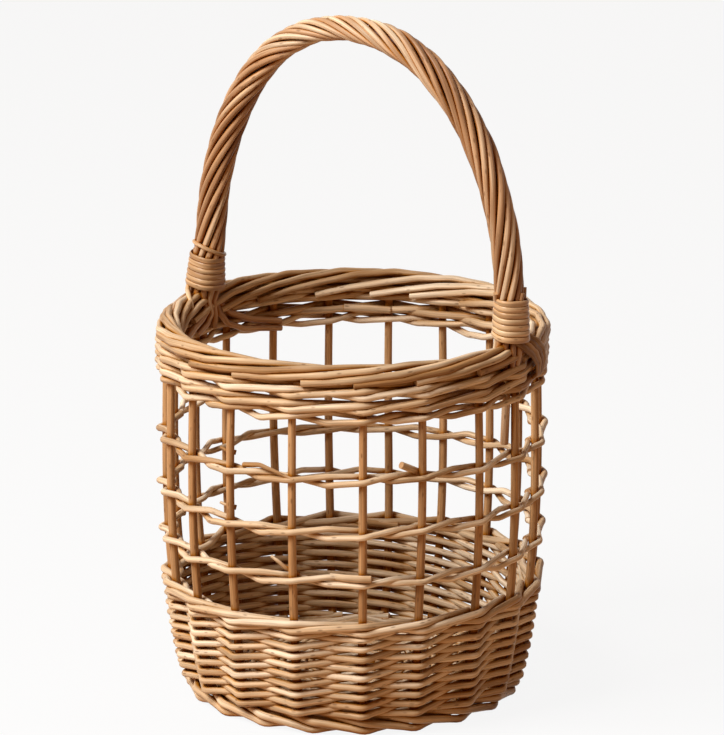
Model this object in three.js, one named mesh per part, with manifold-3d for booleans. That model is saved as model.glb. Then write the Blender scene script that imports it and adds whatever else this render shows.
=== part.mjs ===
// Wicker flower basket: a round willow body with an openwork middle, a rolled border and a roped bow handle.
// Millimetres, +Z up. The origin is on the floor under the middle of the base, and the handle spans X.
import * as THREE from "three";
import { mergeVertices } from "three/addons/utils/BufferGeometryUtils.js";
import Module from "manifold-3d";

// Driving dimensions: the body
const BODY_HEIGHT = 225; // floor to the top of the border
const WALL_RADIUS = 109.4; // the stakes' centre line at the border
const FLARE = 15.6; // how much smaller that radius is at the floor
const FLARE_HEIGHT = 46; // the flare dies away over this height
const BULGE = 1.6; // how far the wall swells outwards at half its height
const CLEARANCE = 0.3; // between pieces that touch
const ROW_GAP = 0.5; // between woven rows that lie on each other

// Driving dimensions: the stakes, at the maker's uneven spacing, anticlockwise from the +X foot of the handle
const STAKE_DIAMETER = 5.2;
const STAKE_ANGLES_DEG = [
  0, 19, 41, 60, 75.5, 94.5, 112.5, 131.5, 150, 168, 180, 199, 214, 228, 246.5, 264.5, 285.5, 307, 325, 345,
];
const FOOT_STAKES = [0, 10]; // these stand beside the two tails of the bow
const STAKE_TOE = 14; // how far a stake reaches into the base
const STAKE_BEND_HEIGHT = 9; // the height in which the toe turns up into the wall

// Driving dimensions: the base
const STICK_DIAMETER = 5.6;
const SLATH_LENGTH = 28; // the parallel middle stretch of the base sticks
const SLATH_LEAD = 1.8; // how far past it, as a share, the sticks still run nearly straight
const THREADED_THICKNESS = 2.6; // two sticks are shaved to this and threaded through the other three
const STICK_END_INSET = 2; // from the end of a stick to the edge of the base
const BASE_INSET = 7; // from the edge of the base to the stakes' centre line at the floor
const BASE_EYE_RADIUS = 17; // the crossing of the sticks shows inside this
const BASE_SKIN = 1.7; // weave above and below the sticks
const FOOT_HEIGHT = 5;
const FOOT_WIDTH = 10.7;
const FOOT_STEP = 1; // from the edge of the base to the foot that the basket stands on

// Driving dimensions: the woven rows
const LOWER_BAND_TOP = 75;
const LOWER_ROWS = 8;
const LOWER_START = 0.8; // from the base to the first row
const ROW_THICKNESS = 3;
const WALE_HEIGHT = 9; // the thick row that closes the lower band
const WALE_THICKNESS = 4;
const FITCH_SHARES = [0.188, 0.436, 0.709]; // the three twined pairs, as shares of the openwork's height
const FITCH_DIAMETER = 3.2;
const UPPER_BAND_HEIGHT = 19; // the rows under the border
const UPPER_ROWS = 3;
const BORDER_HEIGHT = 14;
const BORDER_WIDTH = 14;

// Driving dimensions: the handle
const HANDLE_RISE = 172.4; // from the border to the bow's centre line at the top
const HANDLE_INSET = 1.3; // the bow's feet stand this far inside the stakes' circle
const HANDLE_SQUARENESS = 2.18; // 2 would bend the bow to half an ellipse, and more makes its shoulders squarer
const HANDLE_SWAY = 2.3; // how far the middle of the bow leans towards +X
const HANDLE_RODS = 10;
const HANDLE_ROD_DIAMETER = 3.6;
const ROPING_TURNS = 4.4; // turns of each rod from foot to foot
const ROPING_SLACKENING = -0.17; // the twist is closer at the -X foot than at the +X foot
const LAY_ALLOWANCE = 1.12; // a slanting rod is this much wider across the bow
const BOW_TAIL_DIAMETER = 5;
const BOW_TAIL_LIFT = 7; // the tails end this far above the top twined pair
const BOW_SHOULDER = 5; // the height in which the bow thins to its tail
const RIGHT_BINDING_TURNS = 7;
const LEFT_BINDING_TURNS = 6;
const BINDING_PITCH = 3.5;
const BINDING_THICKNESS = 1.8;
const BINDING_STRIP_GAP = 0.55;
const BINDING_START = 2.5; // from the border to the first turn

// How finely round things are drawn
const STAKE_SIDES = 6;
const ROW_SIDES = 6;
const FITCH_SIDES = 5;
const ROD_SIDES = 4;
const ROUND_STEPS = 40;
const ROD_STEPS = 36;
const BOW_STEPS = 32;
const TURN_STEPS = 12;

// Derived sizes
const stakeRadius = STAKE_DIAMETER / 2;
const tailRadius = BOW_TAIL_DIAMETER / 2;
const borderBottom = BODY_HEIGHT - BORDER_HEIGHT;
const upperBandBottom = borderBottom - UPPER_BAND_HEIGHT;
const fitchHeights = FITCH_SHARES.map((share) => LOWER_BAND_TOP + share * (upperBandBottom - LOWER_BAND_TOP));
const bowTailBottom = Math.max(...fitchHeights) + BOW_TAIL_LIFT;
const baseRadius = WALL_RADIUS - FLARE - BASE_INSET;
const footInner = baseRadius + FOOT_STEP;
const footRadius = footInner + FOOT_WIDTH;
const baseThickness = Math.max(STICK_DIAMETER, STAKE_DIAMETER) + 2 * BASE_SKIN;
const baseMiddle = FOOT_HEIGHT + CLEARANCE + stakeRadius;
const baseTop = baseMiddle + baseThickness / 2;
const rodRing = (HANDLE_ROD_DIAMETER * LAY_ALLOWANCE + CLEARANCE) / (2 * Math.sin(Math.PI / HANDLE_RODS));
const closestTwist = (Math.PI * ROPING_TURNS * (1 + Math.abs(ROPING_SLACKENING))) / ROD_STEPS;
const bowRadius = rodRing * Math.cos(closestTwist) - HANDLE_ROD_DIAMETER / 2 - CLEARANCE;
const handleRadius = rodRing + HANDLE_ROD_DIAMETER / 2;

const wasm = await Module();
wasm.setup();

// The wall: the stakes' centre line as a radius at each height, and its lean there
function wallRadius(z) {
  const swell = Math.sin((Math.PI * z) / BODY_HEIGHT) ** 2;
  return WALL_RADIUS - FLARE * Math.exp(-z / FLARE_HEIGHT) + BULGE * swell;
}

function wallLean(z) {
  const swelling = (Math.PI / BODY_HEIGHT) * Math.sin((2 * Math.PI * z) / BODY_HEIGHT);
  return (FLARE / FLARE_HEIGHT) * Math.exp(-z / FLARE_HEIGHT) + BULGE * swelling;
}

// A point at an angle round the basket
function around(angle, radius, z) {
  return new THREE.Vector3(radius * Math.cos(angle), radius * Math.sin(angle), z);
}

// A closed solid through a list of outlines of equal length. An open run is capped at both ends.
function loft(outlines, closed) {
  const sides = outlines[0].length;
  const runs = closed ? outlines.length : outlines.length - 1;
  const index = [];
  for (let i = 0; i < runs; i++) {
    const near = i * sides;
    const far = ((i + 1) % outlines.length) * sides;
    for (let j = 0; j < sides; j++) {
      const k = (j + 1) % sides;
      index.push(near + j, far + j, far + k, near + j, far + k, near + k);
    }
  }
  const last = (outlines.length - 1) * sides;
  for (let j = 1; j < sides - 1 && !closed; j++) {
    index.push(0, j, j + 1, last, last + j + 1, last + j);
  }
  const geometry = new THREE.BufferGeometry().setFromPoints(outlines.flat());
  geometry.setIndex(signedVolume(outlines.flat(), index) < 0 ? index.reverse() : index);
  return geometry;
}

function signedVolume(points, index) {
  let sum = 0;
  for (let i = 0; i < index.length; i += 3) {
    const cross = new THREE.Vector3().crossVectors(points[index[i + 1]], points[index[i + 2]]);
    sum += points[index[i]].dot(cross);
  }
  return sum / 6;
}

// A round section of a rod, in the plane of two directions
function roundSection(centre, across, up, radius, sides) {
  const turn = (2 * Math.PI) / sides;
  return Array.from({ length: sides }, (_, j) =>
    centre
      .clone()
      .addScaledVector(across, radius * Math.cos(j * turn))
      .addScaledVector(up, radius * Math.sin(j * turn)),
  );
}

// A rod along a list of points that stays near one plane, whose normal is given
function rod(points, normal, radiusAt, sides) {
  const sections = points.map((point, i) => {
    const before = points[Math.max(i - 1, 0)];
    const after = points[Math.min(i + 1, points.length - 1)];
    const along = new THREE.Vector3().subVectors(after, before).normalize();
    const across = new THREE.Vector3().crossVectors(along, normal).normalize();
    return roundSection(point, across, normal, radiusAt(i), sides);
  });
  return loft(sections, false);
}

// Cuts solids from a solid
function solidOf(geometry) {
  const plain = geometry.clone();
  plain.deleteAttribute("normal");
  plain.deleteAttribute("uv");
  const merged = mergeVertices(plain, 1e-4);
  return new wasm.Manifold(
    new wasm.Mesh({
      numProp: 3,
      vertProperties: new Float32Array(merged.attributes.position.array),
      triVerts: new Uint32Array(merged.index.array),
    }),
  );
}

function cut(geometry, tools) {
  let solid = solidOf(geometry);
  for (const tool of tools) solid = solid.subtract(solidOf(tool));
  const mesh = solid.getMesh();
  return new THREE.BufferGeometry()
    .setAttribute("position", new THREE.BufferAttribute(mesh.vertProperties, 3))
    .setIndex(new THREE.BufferAttribute(mesh.triVerts, 1));
}

// Willow finishes
function willow(colour, roughness) {
  return new THREE.MeshStandardMaterial({ color: colour, roughness, metalness: 0 });
}

const stakeWillow = willow(0xb08050, 0.6);
const weaverWillow = willow(0xc39a6b, 0.55);
const handleWillow = willow(0xb98a58, 0.5);
const bindingWillow = willow(0xcfaa78, 0.45);

const basket = new THREE.Group();

function addPiece(name, geometry, material) {
  const piece = new THREE.Mesh(geometry, material);
  piece.name = name;
  basket.add(piece);
}

// Where each stake stands: a foot stake stands close beside its bow tail
function besideTail() {
  return (stakeRadius + tailRadius + CLEARANCE) / wallRadius(bowTailBottom);
}

const stakeAngles = STAKE_ANGLES_DEG.map((degrees, i) => {
  const angle = THREE.MathUtils.degToRad(degrees);
  return FOOT_STAKES.includes(i) ? angle + besideTail() : angle;
});
const tailAngles = FOOT_STAKES.map((i) => THREE.MathUtils.degToRad(STAKE_ANGLES_DEG[i]));

// Stakes: a toe in the base, a bend at the foot, and the upright that ends under the border
function stake(angle, radius) {
  const bendTop = baseMiddle + STAKE_BEND_HEIGHT;
  const knee = wallRadius(bendTop) - wallLean(bendTop) * STAKE_BEND_HEIGHT;
  const toeTip = baseRadius - STAKE_TOE;
  const bend = new THREE.QuadraticBezierCurve3(
    around(angle, baseRadius, baseMiddle),
    around(angle, knee, baseMiddle),
    around(angle, wallRadius(bendTop), bendTop),
  );
  const top = borderBottom - CLEARANCE;
  const wallHeights = [0.08, 0.22, 0.44, 0.7, 1].map((share) => bendTop + share * (top - bendTop));
  const points = [
    around(angle, toeTip, baseMiddle),
    ...bend.getPoints(3),
    ...wallHeights.map((z) => around(angle, wallRadius(z), z)),
  ];
  const sideways = around(angle + Math.PI / 2, 1, 0);
  return rod(points, sideways, () => radius, STAKE_SIDES);
}

stakeAngles.forEach((angle, i) => {
  addPiece(`stake_${String(i + 1).padStart(2, "0")}`, stake(angle, stakeRadius), stakeWillow);
});

// Base sticks: three pierced and two threaded through them, opened out to the middle of each pair of stakes
const slathAngle = THREE.MathUtils.degToRad(45);
const stickPitch = STICK_DIAMETER + CLEARANCE;

function stickEnd(pair) {
  const angle = (stakeAngles[2 * pair] + stakeAngles[2 * pair + 1]) / 2;
  return around(angle, baseRadius - STICK_END_INSET, baseMiddle);
}

function baseStick(stick, radius) {
  const along = around(stick.direction, SLATH_LENGTH / 2, 0);
  const middle = around(stick.direction + Math.PI / 2, stick.offset, baseMiddle);
  const arms = [1, -1].map((side) => {
    const knee = middle.clone().addScaledVector(along, side);
    const lead = middle.clone().addScaledVector(along, side * SLATH_LEAD);
    return new THREE.QuadraticBezierCurve3(knee, lead, stickEnd(side > 0 ? stick.from : stick.to)).getPoints(4);
  });
  return rod([...arms[0].reverse(), ...arms[1]], new THREE.Vector3(0, 0, 1), () => radius, STAKE_SIDES);
}

// A block across the slath, turned with it
function slathBlock(length, width, height, direction, z) {
  return new THREE.BoxGeometry(length, width, height).rotateZ(direction).translate(0, 0, z);
}

const crossAngle = slathAngle + Math.PI / 2;
const piercedSticks = [
  { from: 1, to: 6, offset: 0, direction: slathAngle },
  { from: 2, to: 5, offset: stickPitch, direction: slathAngle },
  { from: 0, to: 7, offset: -stickPitch, direction: slathAngle },
];
const threadedSticks = [
  { from: 4, to: 8, offset: stickPitch / 2, direction: crossAngle },
  { from: 3, to: 9, offset: -stickPitch / 2, direction: crossAngle },
];
const threadedWidth = 2 * stickPitch + CLEARANCE;
const piercedWidth = 3 * stickPitch + CLEARANCE;
const slit = slathBlock(threadedWidth, 2 * piercedWidth, THREADED_THICKNESS + 2 * CLEARANCE, slathAngle, baseMiddle);
const shaving = (STICK_DIAMETER - THREADED_THICKNESS) / 2;
const shavings = [1, -1].map((side) =>
  slathBlock(
    2 * threadedWidth,
    piercedWidth,
    shaving,
    slathAngle,
    baseMiddle + (side * (THREADED_THICKNESS + shaving)) / 2,
  ),
);
piercedSticks.forEach((stick, i) => {
  addPiece(`base_stick_pierced_${i + 1}`, cut(baseStick(stick, STICK_DIAMETER / 2), [slit]), stakeWillow);
});
threadedSticks.forEach((stick, i) => {
  addPiece(`base_stick_threaded_${i + 1}`, cut(baseStick(stick, STICK_DIAMETER / 2), shavings), stakeWillow);
});

// Base weave: a round mat with a tunnel for each stick and each stake's toe
function mat() {
  const half = baseThickness / 2;
  const edge = BASE_SKIN;
  const profile = [
    [BASE_EYE_RADIUS, baseMiddle - half],
    [baseRadius - edge, baseMiddle - half],
    [baseRadius, baseMiddle - half + edge],
    [baseRadius, baseMiddle + half - edge],
    [baseRadius - edge, baseMiddle + half],
    [BASE_EYE_RADIUS, baseMiddle + half],
    [BASE_EYE_RADIUS, baseMiddle - half],
  ];
  return lathe(profile);
}

// A ring turned from a closed profile of radius and height
function lathe(profile) {
  const points = profile.map(([radius, z]) => new THREE.Vector2(radius, z));
  return new THREE.LatheGeometry(points, ROUND_STEPS).rotateX(Math.PI / 2);
}

const tunnels = [
  ...[...piercedSticks, ...threadedSticks].map((stick) => baseStick(stick, STICK_DIAMETER / 2 + CLEARANCE)),
  ...stakeAngles.map((angle) => stake(angle, stakeRadius + CLEARANCE)),
];
addPiece("base_weave", cut(mat(), tunnels), weaverWillow);

// Foot: the ring that the basket stands on, flat underneath
const footBevel = FOOT_HEIGHT / 3;
addPiece(
  "foot_wale",
  lathe([
    [footInner + footBevel, 0],
    [footRadius - footBevel, 0],
    [footRadius, FOOT_HEIGHT / 2],
    [footRadius - footBevel, FOOT_HEIGHT],
    [footInner + footBevel, FOOT_HEIGHT],
    [footInner, FOOT_HEIGHT / 2],
    [footInner + footBevel, 0],
  ]),
  weaverWillow,
);

// Woven rows: each row goes round the wall, outside one post and inside the next
function postsAt(bottom) {
  const posts = stakeAngles.map((angle, i) => [{ angle, radius: stakeRadius, stake: i }]);
  FOOT_STAKES.forEach((i, foot) => {
    if (bottom > bowTailBottom) posts[i].unshift({ angle: tailAngles[foot], radius: tailRadius, stake: i });
  });
  return posts;
}

// The turning points of a row: every post, and the middle of every gap
function rowStations(bottom) {
  const posts = postsAt(bottom);
  return posts.flatMap((post, i) => {
    const next = posts[(i + 1) % posts.length][0].angle + (i + 1 === posts.length ? 2 * Math.PI : 0);
    const gap = { angle: (post[post.length - 1].angle + next) / 2, radius: 0, stake: null, gap: i };
    return [...post, gap];
  });
}

// One row of the wall, leaning with it. The thickness is across the wall and the height along it.
function wovenRow(z, height, thickness, phase) {
  const lean = wallLean(z);
  const length = Math.hypot(1, lean);
  const sections = rowStations(z - height / 2).map(({ angle, radius, stake: post }) => {
    const side = post === null ? 0 : (post + phase) % 2 ? -1 : 1;
    const offset = side * (radius + CLEARANCE + thickness / 2);
    const out = around(angle, 1 / length, -lean / length);
    const up = around(angle, lean / length, 1 / length);
    const centre = around(angle, wallRadius(z), z).addScaledVector(out, offset);
    const turn = (2 * Math.PI) / ROW_SIDES;
    return Array.from({ length: ROW_SIDES }, (_, j) =>
      centre
        .clone()
        .addScaledVector(out, (thickness / 2) * Math.cos(j * turn))
        .addScaledVector(up, (height / 2 / Math.sin(Math.PI / 3)) * Math.sin(j * turn)),
    );
  });
  return loft(sections, true);
}

const lowerStart = baseTop + LOWER_START;
const lowerPitch = (LOWER_BAND_TOP - WALE_HEIGHT - lowerStart) / LOWER_ROWS;
for (let row = 0; row < LOWER_ROWS; row++) {
  const z = lowerStart + (row + 0.5) * lowerPitch;
  addPiece(`lower_row_${row + 1}`, wovenRow(z, lowerPitch - ROW_GAP, ROW_THICKNESS, row), weaverWillow);
}
addPiece(
  "lower_wale",
  wovenRow(LOWER_BAND_TOP - WALE_HEIGHT / 2, WALE_HEIGHT - ROW_GAP, WALE_THICKNESS, LOWER_ROWS),
  weaverWillow,
);

const upperPitch = (borderBottom - upperBandBottom) / UPPER_ROWS;
for (let row = 0; row < UPPER_ROWS; row++) {
  const z = upperBandBottom + (row + 0.5) * upperPitch;
  addPiece(`upper_wale_${row + 1}`, wovenRow(z, upperPitch - ROW_GAP, ROW_THICKNESS, row), weaverWillow);
}

// Fitching: two rods twined round the stakes, half a turn in each gap
function fitchStrand(z, strand) {
  const radius = FITCH_DIAMETER / 2;
  const half = radius + ROW_GAP / 2;
  const sections = rowStations(z - half - radius).map((station) => {
    const onPost = station.stake !== null;
    const step = onPost ? station.stake : station.gap;
    const side = (step + strand) % 2 ? -1 : 1;
    const reach = onPost ? side * (station.radius + CLEARANCE + radius) : 0;
    const lift = onPost ? 0 : side * half;
    const centre = around(station.angle, wallRadius(z) + reach, z + lift);
    return roundSection(centre, around(station.angle, 1, 0), new THREE.Vector3(0, 0, 1), radius, FITCH_SIDES);
  });
  return loft(sections, true);
}

fitchHeights.forEach((z, row) => {
  ["a", "b"].forEach((letter, strand) => {
    addPiece(`fitch_${row + 1}${letter}`, fitchStrand(z, strand), weaverWillow);
  });
});

// The bow's centre line: a tail beside each foot stake and a squared half ellipse between them
const halfSpan = wallRadius(BODY_HEIGHT) - HANDLE_INSET;

function bowPoint(turn) {
  const across = Math.abs(Math.cos(turn) / halfSpan) ** HANDLE_SQUARENESS;
  const upwards = Math.abs(Math.sin(turn) / HANDLE_RISE) ** HANDLE_SQUARENESS;
  const reach = (across + upwards) ** (-1 / HANDLE_SQUARENESS);
  const rise = reach * Math.sin(turn);
  const sway = HANDLE_SWAY * Math.sin((Math.PI * rise) / HANDLE_RISE);
  return new THREE.Vector3(reach * Math.cos(turn) + sway, 0, BODY_HEIGHT + rise);
}

class BowArch extends THREE.Curve {
  getPoint(t, target = new THREE.Vector3()) {
    return target.copy(bowPoint(Math.PI * t));
  }
}

const arch = new BowArch();
const archLength = arch.getLength();
const sideways = new THREE.Vector3(0, 1, 0);

function archFrame(distance) {
  const u = THREE.MathUtils.clamp(distance / archLength, 0, 1);
  const along = arch.getTangentAt(u);
  return { point: arch.getPointAt(u), along, out: new THREE.Vector3().crossVectors(sideways, along) };
}

function handleBow(clearance) {
  const inBorder = [bowTailBottom - clearance, upperBandBottom, borderBottom];
  const tail = inBorder.map((z) => new THREE.Vector3(wallRadius(z), 0, z));
  const shoulder = BOW_SHOULDER / archLength;
  const middle = Array.from({ length: BOW_STEPS + 1 }, (_, i) =>
    arch.getPointAt(shoulder + (i / BOW_STEPS) * (1 - 2 * shoulder)),
  );
  const mirror = new THREE.Vector3(-1, 1, 1);
  const farTail = tail.map((point) => point.clone().multiply(mirror)).reverse();
  const points = [...tail, bowPoint(0), ...middle, bowPoint(Math.PI), ...farTail];
  const thin = tail.length + 1;
  const radiusAt = (i) => (i < thin || i >= points.length - thin ? tailRadius : bowRadius) + clearance;
  return rod(points, sideways, radiusAt, STAKE_SIDES);
}

addPiece("handle_bow", handleBow(0), handleWillow);

// Border: a thick rolled ring, pierced by the two tails of the bow
function borderRing() {
  const middle = wallRadius(BODY_HEIGHT);
  const half = BORDER_WIDTH / 2;
  const corner = Math.min(BORDER_WIDTH, BORDER_HEIGHT) / 4;
  return lathe([
    [middle - half + corner, borderBottom],
    [middle + half - corner, borderBottom],
    [middle + half, borderBottom + corner],
    [middle + half, BODY_HEIGHT - corner],
    [middle + half - corner, BODY_HEIGHT],
    [middle - half + corner, BODY_HEIGHT],
    [middle - half, BODY_HEIGHT - corner],
    [middle - half, borderBottom + corner],
    [middle - half + corner, borderBottom],
  ]);
}

addPiece("border", cut(borderRing(), [handleBow(CLEARANCE)]), weaverWillow);

// Roping: rods twisted round the bow from foot to foot
function ropingAngle(share) {
  const eased = share * (1 + ROPING_SLACKENING) - ROPING_SLACKENING * share * share;
  return 2 * Math.PI * ROPING_TURNS * eased;
}

function ropingRod(number) {
  const startAngle = (2 * Math.PI * number) / HANDLE_RODS;
  const end = CLEARANCE + HANDLE_ROD_DIAMETER / 2;
  const centres = Array.from({ length: ROD_STEPS + 1 }, (_, i) => {
    const share = i / ROD_STEPS;
    const { point, out } = archFrame(end + share * (archLength - 2 * end));
    const turn = startAngle + ropingAngle(share);
    const away = out.multiplyScalar(Math.cos(turn)).addScaledVector(sideways, Math.sin(turn));
    return { place: point.addScaledVector(away, rodRing), away };
  });
  const sections = centres.map(({ place, away }, i) => {
    const before = centres[Math.max(i - 1, 0)].place;
    const after = centres[Math.min(i + 1, ROD_STEPS)].place;
    const along = new THREE.Vector3().subVectors(after, before).normalize();
    const across = new THREE.Vector3().crossVectors(along, away).normalize();
    return roundSection(place, away, across, HANDLE_ROD_DIAMETER / 2, ROD_SIDES);
  });
  return loft(sections, false);
}

for (let number = 0; number < HANDLE_RODS; number++) {
  addPiece(`handle_rod_${String(number + 1).padStart(2, "0")}`, ropingRod(number), handleWillow);
}

// Bindings: a split rod wound round each foot of the handle, one unbroken strip
const stripHeight = BINDING_PITCH - BINDING_STRIP_GAP;
const bindingRadius = handleRadius + CLEARANCE + BINDING_THICKNESS / 2;

function bindingStations(nearFoot, turnCount) {
  const steps = turnCount * TURN_STEPS;
  return Array.from({ length: steps + 1 }, (_, i) => {
    const turns = i / TURN_STEPS;
    const rise = BINDING_START + stripHeight / 2 + turns * BINDING_PITCH;
    const { point, along, out } = archFrame(nearFoot ? rise : archLength - rise);
    const turn = 2 * Math.PI * turns;
    const away = out.multiplyScalar(Math.cos(turn)).addScaledVector(sideways, Math.sin(turn));
    return { place: point.addScaledVector(away, bindingRadius), away, along };
  });
}

function binding(stations) {
  const sections = stations.map(({ place, away, along }) =>
    [
      [1, 1],
      [-1, 1],
      [-1, -1],
      [1, -1],
    ].map(([a, b]) =>
      place
        .clone()
        .addScaledVector(away, (a * BINDING_THICKNESS) / 2)
        .addScaledVector(along, (b * stripHeight) / 2),
    ),
  );
  return loft(sections, false);
}

// The least room between one turn of a binding and the next, measured on its points
function leastGap(stations) {
  let least = Infinity;
  stations.forEach((one, i) => {
    stations.slice(i + TURN_STEPS / 2).forEach((other) => {
      least = Math.min(least, one.place.distanceTo(other.place) - stripHeight);
    });
  });
  return least;
}

[
  ["handle_binding_right", true, RIGHT_BINDING_TURNS],
  ["handle_binding_left", false, LEFT_BINDING_TURNS],
].forEach(([name, nearFoot, turnCount]) => {
  const stations = bindingStations(nearFoot, turnCount);
  console.log(`${name}: least gap to itself ${leastGap(stations).toFixed(2)} mm`);
  addPiece(name, binding(stations), bindingWillow);
});

export default basket;
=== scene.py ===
# %% [markdown]
# # A wicker flower basket
# A round basket of peeled willow, with a close band below, an open middle, a rolled border and a roped
# handle. The frame from the CAD model holds every stake, row and handle rod at its true size and place.
# This lesson makes each of them again as a willow rod: tapered, a little crooked, with grain along it
# and clean cut ends.

import math
import random

import bpy
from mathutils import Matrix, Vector
from mathutils.geometry import interpolate_bezier


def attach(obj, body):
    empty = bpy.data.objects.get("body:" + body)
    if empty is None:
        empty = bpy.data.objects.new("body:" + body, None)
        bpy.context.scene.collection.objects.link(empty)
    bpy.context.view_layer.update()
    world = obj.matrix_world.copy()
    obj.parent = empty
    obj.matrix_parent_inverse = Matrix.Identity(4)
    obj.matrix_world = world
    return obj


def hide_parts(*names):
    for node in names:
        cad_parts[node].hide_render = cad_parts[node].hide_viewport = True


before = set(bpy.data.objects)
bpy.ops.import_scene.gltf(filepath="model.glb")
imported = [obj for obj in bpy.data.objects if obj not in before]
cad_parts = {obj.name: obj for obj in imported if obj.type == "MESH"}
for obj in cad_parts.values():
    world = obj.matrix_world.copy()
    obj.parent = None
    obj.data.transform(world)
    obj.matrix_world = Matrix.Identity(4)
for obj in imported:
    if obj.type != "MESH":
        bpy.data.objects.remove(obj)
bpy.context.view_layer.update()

# %% [markdown]
# ## The camera
# The basket is seen from a little above and from far off, with a long lens, so the ring of the border
# is a flat ellipse and the stakes stand nearly parallel. A short lens close by could fill the frame as
# well, but it would splay the stakes. Distance and lens together set the size in the frame.

# %% Camera
CAMERA_AZIMUTH = math.radians(34.0)
CAMERA_ELEVATION = math.radians(15.65)
CAMERA_DISTANCE = 3.368
CAMERA_LENS = 281.0
CAMERA_SHIFT = 0.0121
AIM = Vector((0.0, 0.0, 0.1944))

bpy.ops.object.select_all(action="DESELECT")
bpy.ops.object.camera_add()
camera = bpy.context.object
camera.name = "photo_camera"
towards_camera = Vector(
    (
        math.sin(CAMERA_AZIMUTH) * math.cos(CAMERA_ELEVATION),
        -math.cos(CAMERA_AZIMUTH) * math.cos(CAMERA_ELEVATION),
        math.sin(CAMERA_ELEVATION),
    )
)
camera.location = AIM + towards_camera * CAMERA_DISTANCE
camera.rotation_euler = (-towards_camera).to_track_quat("-Z", "Y").to_euler()
camera.data.lens = CAMERA_LENS
camera.data.shift_x = CAMERA_SHIFT
bpy.context.scene.camera = camera
print("camera stands at", [round(value, 2) for value in camera.location])

# %% [markdown]
# ## The plan of the wall
# Everything is woven round the stakes, so their places come first, in millimetres and degrees. The wall
# leans out from the foot and stands upright higher up. Each row could have its own radius, but one
# function for the wall keeps stakes and rows together at every height.

# %% Stakes and wall
STAKE_DEGREES = [0, 19, 41, 60, 75.5, 94.5, 112.5, 131.5, 150, 168]
STAKE_DEGREES += [180, 199, 214, 228, 246.5, 264.5, 285.5, 307, 325, 345]
STAKE_COUNT = len(STAKE_DEGREES)
STAKE_SIZE = 5.2
BODY_HEIGHT = 225.0
UPRIGHT_RADIUS = 109.4
FOOT_INSET = 15.6
INSET_FADE = 46.0
WALL_SWELL = 1.6


def wall_radius(z):
    """The radius of the circle on which the stakes stand, at a height."""
    swell = math.sin(math.pi * z / BODY_HEIGHT) ** 2
    return UPRIGHT_RADIUS - FOOT_INSET * math.exp(-z / INSET_FADE) + WALL_SWELL * swell


def place(angle, radius, z):
    """A point at an angle round the basket, in millimetres."""
    return Vector((radius * math.cos(angle), radius * math.sin(angle), z))


print("stakes:", STAKE_COUNT, "radius at the border:", round(wall_radius(BODY_HEIGHT), 1))

# %% [markdown]
# Two of the stakes share their place with a tail of the bow, which is pushed down beside them. High up,
# the rows go round both together, so a function lists the uprights that a row meets at each stake.

# %% Uprights
FOOT_STAKES = (0, 10)
BOW_TAIL_BOTTOM = 165.0
TAIL_SPACING = 5.4
TAIL_SHIFT = TAIL_SPACING / wall_radius(BOW_TAIL_BOTTOM)


def stake_angle(number):
    turns, index = divmod(number, STAKE_COUNT)
    shift = TAIL_SHIFT if index in FOOT_STAKES else 0.0
    return math.radians(STAKE_DEGREES[index]) + shift + turns * math.tau


def posts(number, z):
    """The uprights that a row goes round: a stake, and high up at the handle's feet also a tail."""
    angle = stake_angle(number)
    if number % STAKE_COUNT in FOOT_STAKES and z > BOW_TAIL_BOTTOM:
        return [angle - TAIL_SHIFT, angle]
    return [angle]


print("uprights under the border:", sum(len(posts(number, BODY_HEIGHT)) for number in range(STAKE_COUNT)))

# %% [markdown]
# ## From a line to a rod
# A willow rod stays nearly straight between two stakes and bends where it goes round one. A smooth
# curve through all its points would look like wire, so its line is given by a few corners, and each
# corner is bent over a short reach, with straight stretches between.

# %% Rod lines
MOST_OF_A_STRETCH = 0.42
BEND_STEPS = 3


def bent(corners, reach):
    """A rod's line: straight between its corners, and bent through each of them."""
    path = [corners[0]]
    for before, corner, after in zip(corners, corners[1:], corners[2:]):
        coming = corner - before
        going = after - corner
        start = corner - coming * min(MOST_OF_A_STRETCH, reach / coming.length)
        end = corner + going * min(MOST_OF_A_STRETCH, reach / going.length)
        across = end - start
        for near, far, lead, trail in ((start, corner, coming, across), (corner, end, across, going)):
            pull = (far - near).length / 3
            near_handle = near + lead.normalized() * pull
            far_handle = far - trail.normalized() * pull
            path += interpolate_bezier(near, near_handle, far_handle, far, BEND_STEPS + 1)[:-1]
        path.append(end)
    path.append(corners[-1])
    return path


def tapered(path, butt, tip):
    """A rod: its line, and a thickness at each point from the thick end to the thin one."""
    last = len(path) - 1
    return path, [butt + (tip - butt) * index / last for index in range(last + 1)]


print("points at one bend:", len(bent([place(angle, 20.0, 0.0) for angle in (0, 1, 2)], 5.0)) - 2)

# %% [markdown]
# By hand, a rod is a curve with a round bevel. It could also be a cylinder bent by a modifier, but a
# curve keeps its thickness round every bend, and each of its points has a radius of its own, so a rod
# can taper.

# %% Rods as curves
MM = 0.001
ROUNDNESS = 4


def draw_rods(name, rods):
    """One curve object with a line for each rod. The bevel is 1 mm, so radii are in millimetres."""
    bpy.ops.object.select_all(action="DESELECT")
    bpy.ops.curve.primitive_nurbs_path_add()
    drawn = bpy.context.object
    drawn.name = name
    drawn.data.splines.clear()
    drawn.data.bevel_depth = MM
    drawn.data.bevel_resolution = ROUNDNESS
    for path, sizes in rods:
        line = drawn.data.splines.new("POLY")
        line.points.add(len(path) - 1)
        for point, spot, size in zip(line.points, path, sizes):
            point.co = (*(spot * MM), 1.0)
            point.radius = size / 2


print("sides of a rod:", 2 * ROUNDNESS + 4)

# %% [markdown]
# Wood grain has to follow the rod round every bend. A pattern on plain object coordinates would cut
# straight through the bends. So each point of the mesh also stores where it would lie if the rod were
# pulled straight: how far along it is, and where it is across. A second value is the rod's tone, which
# is paler where the rod is thinner.

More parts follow.
